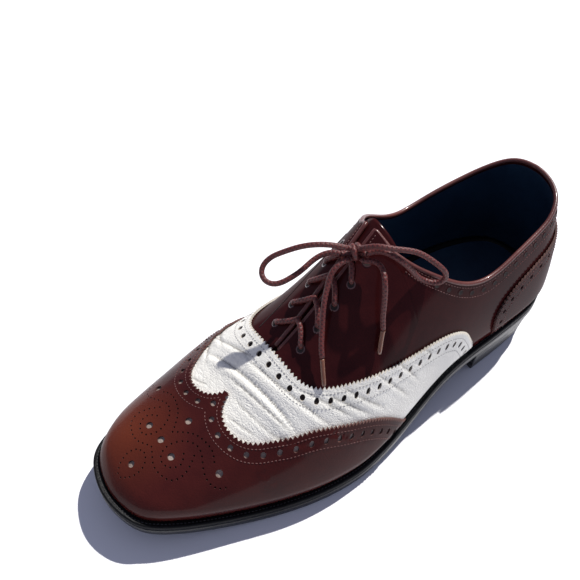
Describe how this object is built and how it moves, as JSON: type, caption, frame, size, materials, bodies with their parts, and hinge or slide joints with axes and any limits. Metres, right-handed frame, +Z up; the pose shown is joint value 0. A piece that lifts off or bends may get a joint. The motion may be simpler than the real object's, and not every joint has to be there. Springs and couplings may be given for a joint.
{
  "type": "spectator shoe",
  "caption": "Left lace-up spectator shoe: white vamp under a dark wing cap, closed lacing, low stacked heel, pinked and pierced overlays.",
  "frame": {"origin": "middle of the outline on the floor under the sole", "axes": "+Z up, -Y towards the toe, +X towards the outer (lateral) side"},
  "size_m": [0.1118, 0.2923, 0.1194],
  "materials": {
    "black_sole_leather": "burnished edge",
    "brown_leather": "polished",
    "dark_lining": "matt",
    "tan_aglet": "satin",
    "waxed_cord": "waxed",
    "white_leather": "pebbled, semi-matt"
  },
  "bodies": {
    "root": {"aglet_lateral": "tan_aglet", "aglet_medial": "tan_aglet", "bow_end_lateral": "waxed_cord", "bow_end_medial": "waxed_cord", "bow_knot": "waxed_cord", "bow_loop_lateral": "waxed_cord", "bow_loop_medial": "waxed_cord", "heel_counter": "brown_leather", "heel_stack": "black_sole_leather", "heel_top_piece": "black_sole_leather", "insole": "dark_lining", "lace_cross_1": "waxed_cord", "lace_cross_2": "waxed_cord", "lace_cross_3": "waxed_cord", "lace_cross_4": "waxed_cord", "outsole": "black_sole_leather", "tongue": "brown_leather", "upper": "brown_leather", "vamp": "white_leather", "welt": "black_sole_leather", "wing_cap": "brown_leather"}
  },
  "joints": []
}
